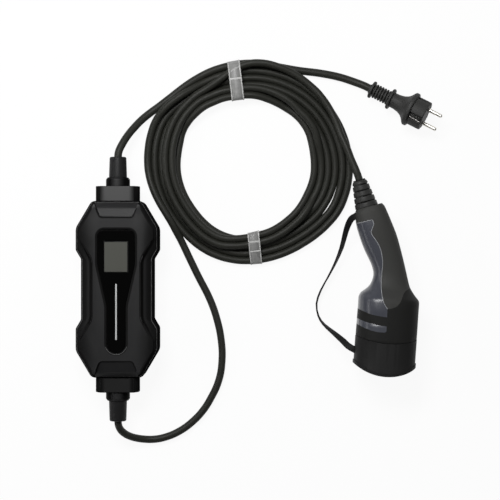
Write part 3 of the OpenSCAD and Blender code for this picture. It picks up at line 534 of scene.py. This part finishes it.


# CAD nodes that show: a merged copy with softened edges stands for each; sizes in mm, angles in degrees
# steepShade names a darker matt finish for steep faces and bevels, painted shade; rim names a pale finish
# for the bevels, painted highlight
dressed = {
    "front_shell": {"finish": "caseBlack", "edge": 1.1, "angle": 18, "smooth": 25, "steepShade": "caseMattPaintedShade",
                    "merge": 0.3, "zone": {"above": 50.5, "within": (38.5, 98), "keepFoot": 84}},
    "rear_shell": {"finish": "caseBlack", "edge": 0.6, "angle": 30, "smooth": 30, "steepShade": "caseMattPaintedShade"},
    "display_window": {"finish": "windowGloss", "edge": 0.5, "angle": 40, "smooth": 30},
    "lcd_panel": {"finish": "lcdGlass", "edge": 0.2, "angle": 40, "smooth": 30},
    "light_bar": {"finish": "lightGuide", "edge": 0.3, "angle": 40, "smooth": 30},
    "upper_collar": {"finish": "collarBlack", "edge": 0.9, "angle": 15, "smooth": 30, "steepShade": "caseMattPaintedShade"},
    "lower_collar": {"finish": "collarPaintedShade", "edge": 0.9, "angle": 15, "smooth": 30, "steepShade": "caseMattPaintedShade"},
    "upper_nut": {"finish": "nutBlack", "edge": 0.4, "angle": 25, "smooth": 30},
    "lower_nut": {"finish": "nutBlack", "edge": 0.4, "angle": 25, "smooth": 30},
    "upper_sleeve": {"finish": "glandBlack", "edge": 0.5, "angle": 30, "smooth": 40},
    "lower_sleeve": {"finish": "glandBlack", "edge": 0.5, "angle": 30, "smooth": 40},
    "plug_body": {"finish": "plugRubber", "edge": 0.3, "angle": 30, "smooth": 35},
    "plug_pins": {"finish": "nickelPlate", "edge": 0.3, "angle": 40, "smooth": 35},
    "earth_clips": {"finish": "clipPaintedShade", "edge": 0.2, "angle": 40, "smooth": 30},
    "handle_cover": {"finish": "coverDark", "edge": 0.6, "angle": 40, "smooth": 40, "round": True},
    # grip insert: its bevels take the pale finish as a painted highlight
    "grip_insert": {"finish": "gripSlate", "edge": 0.9, "angle": 40, "smooth": 40, "round": True,
                    "rim": "gripEdgeHighlight"},
    "head_shell": {"finish": "headBlack", "edge": 0.5, "angle": 40, "smooth": 40, "round": True},
    "connector_boot": {"finish": "bootRubber", "edge": 0.5, "angle": 30, "smooth": 35},
    "dust_cap": {"finish": "capRubber", "edge": 0.6, "angle": 30, "smooth": 40, "round": True},
    "cap_strap": {"finish": "capRubber", "edge": 0.4, "angle": 40, "smooth": 40, "round": True},
}
# steepBelow: faces whose normal points up less than this take painted shade
dressing = {"merge": 0.01, "flatten": 0.004, "cutSlack": 0.1, "steepBelow": 0.92}


def weighZone(bm, zone, angle):  # bevel only the bent edges inside a zone, not the feet of the recesses
    wide, long = (limit * mm for limit in zone["within"])
    weight = bm.edges.layers.float.new("bevel_weight_edge")
    for end in (-long, long):
        bmesh.ops.bisect_plane(bm, geom=bm.verts[:] + bm.edges[:] + bm.faces[:], plane_co=(0, end, 0),
                               plane_no=(0, 1, 0))
    farthest = long + dressing["cutSlack"] * mm
    for edge in bm.edges:
        inZone = all(v.co.z > zone["above"] * mm and abs(v.co.x) < wide and abs(v.co.y) < farthest
                     for v in edge.verts)
        recessFoot = not edge.is_convex and abs(edge.verts[0].co.y) > zone["keepFoot"] * mm
        edge[weight] = float(inZone and isBent(edge, angle) and not recessFoot)


def dressNode(node, settings):
    bm = bmesh.new()
    bm.from_mesh(nodes[node].data)
    bmesh.ops.remove_doubles(bm, verts=bm.verts, dist=settings.get("merge", dressing["merge"]) * mm)
    bmesh.ops.dissolve_limit(bm, angle_limit=dressing["flatten"], verts=bm.verts, edges=bm.edges)
    if "zone" in settings:
        weighZone(bm, settings["zone"], settings["angle"])
    words = node.split("_")
    name = words[0] + "".join(w.capitalize() for w in words[1:]) + "Dressed"
    piece = pieceFrom(name, bm, settings["finish"])
    smoothAll(piece, settings["smooth"])
    soften = piece.modifiers.new("softEdge", "BEVEL")
    soften.width = settings["edge"] * mm
    soften.segments = bevelSteps
    soften.use_clamp_overlap = "merge" not in settings
    soften.limit_method = "WEIGHT" if "zone" in settings else "ANGLE"
    soften.angle_limit = math.radians(settings["angle"])
    soften.harden_normals = not settings.get("round", False)
    # bevel faces take the second finish: the darker matt copy as painted shade, or the pale finish as
    # painted highlight
    second = settings.get("steepShade") or settings.get("rim")
    if second:
        piece.data.materials.append(finishes[second])
        soften.material = 1
    # faces that lean away from straight up take the darker matt copy: painted shade
    if "steepShade" in settings:
        for polygon in piece.data.polygons:
            polygon.material_index = int(abs(polygon.normal.z) < dressing["steepBelow"])
    return piece


pieces = {}
for nodeName, nodeSettings in dressed.items():
    piece = dressNode(nodeName, nodeSettings)
    pieces[nodeName] = piece
    if nodeName == "cap_strap":
        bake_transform(piece)
    else:
        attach(piece, "cap" if nodeName == "dust_cap" else "charger")
    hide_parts(nodeName)
print("dressed", len(pieces), "nodes")

# painted highlight: a pale rod along the folded edge of the upper earth contact
clipEdgeGlint = {"from": (358.4, 212.4), "to": (370, 205.4), "radius": 0.6, "sides": 12, "lookFrom": 100}


def foldedEdge(settings):
    bm = bmesh.new()
    for nodeName in ("plug_body", "earth_clips"):
        bm.from_mesh(nodes[nodeName].data)
    under = BVHTree.FromBMesh(bm)
    bm.free()
    starts = [Vector((*settings[key], settings["lookFrom"])) * mm for key in ("from", "to")]
    ends = [under.ray_cast(start, -upward)[0] for start in starts]
    rod = rodBetween(*ends, (settings["radius"], settings["radius"]), settings["sides"])
    piece = pieceFrom("clipEdgeGlint", rod, "clipMetalGlint")
    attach(piece, "charger")
    return piece


clipEdgeGlintPiece = foldedEdge(clipEdgeGlint)

# short ends of the strap, moulded onto the grip and the cap, in the connector's own frame
connector = {"middle": (329.5, -59, 35.1), "cos": 0.99731, "sin": 0.07324}
strapEnds = {
    "strapRootGrip": {"body": "charger", "from": (-50.6, 143.7), "to": (-46, 147.2), "width": 7.6},
    "strapRootCap": {"body": "cap", "from": (-40.2, -16.9), "to": (-35.5, -19.2), "width": 7.8},
}
strapMake = {"thick": 2.2, "soft": 0.5}


def onHead(x, y):
    cos, sin = connector["cos"], connector["sin"]
    middle = connector["middle"]
    return Vector((middle[0] + cos * x + sin * y, middle[1] - sin * x + cos * y, middle[2])) * mm


def strapEnd(name, settings):
    start, stop = onHead(*settings["from"]), onHead(*settings["to"])
    along = (stop - start).normalized()
    size = ((stop - start).length, settings["width"] * mm, strapMake["thick"] * mm)
    bm = barAt((start + stop) / 2, along, upward.cross(along), size, strapMake["soft"])
    piece = pieceFrom(name, bm, "capRubber")
    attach(piece, settings["body"])
    return piece


onVehicleCord += [strapEnd(name, settings) for name, settings in strapEnds.items()]

# dark cone inside the boot, painted shade behind the slits between its rings
bootCore = {"bottom": onHead(-35.5, 158.3), "top": onHead(-47.2, 190.3), "radii": (12.7, 7.4), "sides": 48}


def bootInside(settings):
    bm = rodBetween(settings["bottom"], settings["top"], settings["radii"], settings["sides"])
    piece = pieceFrom("bootCore", bm, "caseMattPaintedShade")
    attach(piece, "charger")
    return piece


onVehicleCord.append(bootInside(bootCore))
print("strap ends, boot core and clip edge made")


# thin beads along chosen CAD edges; sizes in mm
beadRound = 2


def mergedCopy(node):
    bm = bmesh.new()
    bm.from_mesh(nodes[node].data)
    bmesh.ops.remove_doubles(bm, verts=bm.verts, dist=dressing["merge"] * mm)
    bm.normal_update()
    return bm


def edgeChains(bm, keep):  # kept edges joined end to end, each with whether it closes
    links = {}
    for edge in bm.edges:
        if keep(edge, (edge.verts[0].co + edge.verts[1].co) / 2):
            for vert in edge.verts:
                links.setdefault(vert, []).append(edge.other_vert(vert))
    waiting = set(links)
    chains = []
    while waiting:
        reached = min(waiting, key=lambda v: (len(links[v]), v.index))
        chain = []
        while reached:
            chain.append(reached)
            waiting.discard(reached)
            reached = next((v for v in links[reached] if v in waiting), None)
        if len(chain) > 2:
            closed = chain[0] in links[chain[-1]]
            chains.append(([v.co.copy() for v in chain], closed))
    return chains


def beadAlong(name, chains, radius, finish):
    curve = bpy.data.curves.new(name, "CURVE")
    curve.dimensions = "3D"
    curve.bevel_depth = radius * mm
    curve.bevel_resolution = beadRound
    curve.use_fill_caps = True
    for places, closed in chains:
        spline = curve.splines.new("POLY")
        spline.use_cyclic_u = closed
        spline.points.add(len(places) - 1)
        for point, place in zip(spline.points, places):
            point.co = (*place, 1)
    curve.materials.append(finishes[finish])
    made = bpy.data.objects.new(name, curve)
    scene.collection.objects.link(made)
    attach(made, "charger")
    print(name, "in", len(chains), "runs")
    return made


# raised lip of the grip insert where it meets the cover, its pale finish a painted highlight
insertLip = {"radius": 0.5, "angle": 35, "above": 40, "toCover": 0.8, "lift": 0.4}
insertMesh = mergedCopy("grip_insert")
coverMesh = mergedCopy("handle_cover")
insertTree = BVHTree.FromBMesh(insertMesh)
coverTree = BVHTree.FromBMesh(coverMesh)


def onInsertBorder(edge, middle):
    if not isBent(edge, insertLip["angle"]) or middle.z < insertLip["above"] * mm:
        return False
    if coverTree.find_nearest(middle)[3] > insertLip["toCover"] * mm:
        return False
    lifted = middle + upward * (insertLip["lift"] * mm)
    return not any(tree.ray_cast(lifted, upward)[0] for tree in (coverTree, insertTree))


lipRuns = edgeChains(insertMesh, onInsertBorder)
onVehicleCord.append(beadAlong("insertLip", lipRuns, insertLip["radius"], "gripEdgeHighlight"))

# pale beads along edges of the case as painted highlights: rim, end recess, lower end of the window, foot of
# the upper collar
casePaintedGlints = {
    "radius": 0.3, "angle": 15, "rim": 48.5, "rimSlack": 0.06,
    "recess": {"past": 104.5, "above": 50.8, "wide": 26},
    "window": {"from": -83, "to": -70, "above": 59.6, "wide": 20},
    "collar": {"wide": 17, "depth": 1.5, "slack": 0.6, "footDepth": 2},
}
caseMesh = mergedCopy("front_shell")
collarMesh = mergedCopy("upper_collar")
collarTop = max(v.co.z for v in collarMesh.verts)
footAbove = collarTop - casePaintedGlints["collar"]["footDepth"] * mm
collarFoot = min(v.co.y for v in collarMesh.verts if v.co.z > footAbove)


def onCaseEdge(edge, middle):
    recess, window = casePaintedGlints["recess"], casePaintedGlints["window"]
    onRim = all(abs(v.co.z - casePaintedGlints["rim"] * mm) < casePaintedGlints["rimSlack"] * mm for v in edge.verts)
    inRecess = (middle.y > recess["past"] * mm and middle.z > recess["above"] * mm
                and abs(middle.x) < recess["wide"] * mm)
    atWindow = (window["from"] * mm < middle.y < window["to"] * mm and middle.z > window["above"] * mm
                and abs(middle.x) < window["wide"] * mm)
    return onRim or (isBent(edge, casePaintedGlints["angle"]) and (inRecess or atWindow))


def onCollarFoot(edge, middle):
    collar = casePaintedGlints["collar"]
    atFoot = all(abs(v.co.y - collarFoot) < collar["slack"] * mm for v in edge.verts)
    return atFoot and middle.z > collarTop - collar["depth"] * mm and abs(middle.x) < collar["wide"] * mm


glintRuns = edgeChains(caseMesh, onCaseEdge) + edgeChains(collarMesh, onCollarFoot)
beadAlong("casePaintedGlints", glintRuns, casePaintedGlints["radius"], "caseGlintPaint")

# fillet in the hollow corner round the floor of either end recess, in the darker matt finish: a soft fillet
# shape with painted shade in the corner
recessFilletShade = {"radius": 1.2, "angle": 15, "past": 84, "from": 50.8, "to": 59.5, "wide": 28.5}


def onRecessFoot(edge, middle):
    inside = (abs(middle.y) > recessFilletShade["past"] * mm and abs(middle.x) < recessFilletShade["wide"] * mm
              and recessFilletShade["from"] * mm < middle.z < recessFilletShade["to"] * mm)
    return inside and isBent(edge, recessFilletShade["angle"]) and not edge.is_convex


footRuns = edgeChains(caseMesh, onRecessFoot)
beadAlong("recessFilletShade", footRuns, recessFilletShade["radius"], "caseMattPaintedShade")
for spare in (insertMesh, coverMesh, caseMesh, collarMesh):
    spare.free()

# inner and hidden nodes keep their CAD shape
hiddenFinish = {
    "housing_seal": "sealRubber", "upper_seal": "sealRubber", "lower_seal": "sealRubber",
    "display_board": "boardGreen", "main_board": "boardGreen", "power_relays": "relayBlue",
    "supply_module": "moduleBlack", "leak_sensor": "moduleBlack", "terminal_blocks": "terminalGreen",
    "housing_screws": "screwSteel", "handle_screws": "screwSteel", "plug_bridge": "plugRubber",
    "contact_carrier": "headBlack", "power_contacts": "nickelPlate", "signal_contacts": "nickelPlate",
}
for nodeName, finish in hiddenFinish.items():
    mesh = nodes[nodeName].data
    mesh.materials.clear()
    mesh.materials.append(finishes[finish])
print("inner nodes finished")

# what hangs on each cord
onSupplyCord = [pieces[n] for n in ("plug_body", "plug_pins", "earth_clips")]
onSupplyCord += [clipEdgeGlintPiece, nodes["plug_bridge"]]
onVehicleCord += [pieces[n] for n in ("handle_cover", "grip_insert", "head_shell", "connector_boot",
                                      "dust_cap", "cap_strap")]
onVehicleCord += [nodes[n] for n in ("contact_carrier", "power_contacts", "signal_contacts",
                                     "handle_screws")]


# floor and light, in m and W
studio = {"floorSide": 8.0, "floorHeight": -0.0004, "floorTone": 0.9, "bounceTone": 0.25, "shine": 0.93,
          "worldTone": 0.3, "worldStrength": 0.5}
lamps = {
    "keySoftbox": {"place": (-0.15, 0.7, 1.25), "aim": (0.12, 0.05, 0), "size": (0.7, 0.45), "power": 17},
    "leftStrip": {"place": (-0.75, 0.05, 0.5), "aim": (0.3, 0.05, 0.03), "size": (1.2, 0.12), "power": 2},
    "rightSoftbox": {"place": (1.6, 0.4, 1.3), "aim": (0.16, 0.05, 0), "size": (0.5, 1.0), "power": 2.5},
}


def floorFinish(settings):  # bright to the camera and in reflections, dull as a source of bounced light
    finish = bpy.data.materials.new("studioFloor")
    finish.use_nodes = True
    tree = finish.node_tree
    tree.nodes.remove(tree.nodes["Principled BSDF"])
    path = addNode(tree, "ShaderNodeLightPath")
    mirrored = addNode(tree, "ShaderNodeMath", operation="MAXIMUM")
    seen = addNode(tree, "ShaderNodeMath", operation="MAXIMUM")
    tone = addNode(tree, "ShaderNodeMix", data_type="RGBA")
    tone.inputs[mixFirst].default_value = (*grey(settings["bounceTone"]), 1)
    tone.inputs[mixSecond].default_value = (*grey(settings["floorTone"]), 1)
    matt = addNode(tree, "ShaderNodeBsdfDiffuse")
    glow = addNode(tree, "ShaderNodeEmission", {"Strength": 1.0})
    part = addNode(tree, "ShaderNodeMath", {1: settings["shine"]}, operation="MULTIPLY")
    blend = addNode(tree, "ShaderNodeMixShader")
    link = tree.links.new
    link(path.outputs["Is Glossy Ray"], mirrored.inputs[0])
    link(path.outputs["Is Transmission Ray"], mirrored.inputs[1])
    link(path.outputs["Is Camera Ray"], seen.inputs[0])
    link(mirrored.outputs[0], seen.inputs[1])
    link(seen.outputs[0], tone.inputs[0])
    link(tone.outputs[mixResult], matt.inputs["Color"])
    link(seen.outputs[0], part.inputs[0])
    link(part.outputs[0], blend.inputs[0])
    link(matt.outputs[0], blend.inputs[1])
    link(glow.outputs[0], blend.inputs[2])
    link(blend.outputs[0], tree.nodes["Material Output"].inputs["Surface"])
    return finish


def layFloor(settings):
    bm = bmesh.new()
    bmesh.ops.create_grid(bm, x_segments=1, y_segments=1, size=settings["floorSide"] / 2)
    for v in bm.verts:
        v.co.z = settings["floorHeight"]
    mesh = bpy.data.meshes.new("studioFloor")
    bm.to_mesh(mesh)
    bm.free()
    mesh.materials.append(floorFinish(settings))
    floor = bpy.data.objects.new("studioFloor", mesh)
    scene.collection.objects.link(floor)


def softLight(name, place, aim, size, power):
    lamp = bpy.data.lights.new(name, "AREA")
    lamp.shape = "RECTANGLE"
    lamp.size, lamp.size_y = size
    lamp.energy = power
    made = bpy.data.objects.new(name, lamp)
    made.location = place
    made.rotation_euler = (Vector(aim) - Vector(place)).to_track_quat("-Z", "Y").to_euler()
    scene.collection.objects.link(made)


layFloor(studio)
for lampName, lampSettings in lamps.items():
    softLight(lampName, **lampSettings)
world = bpy.data.worlds.new("studioWorld")
scene.world = world
world.use_nodes = True
sky = world.node_tree.nodes["Background"]
sky.inputs["Color"].default_value = (*grey(studio["worldTone"]), 1)
sky.inputs["Strength"].default_value = studio["worldStrength"]
print("studio ready")
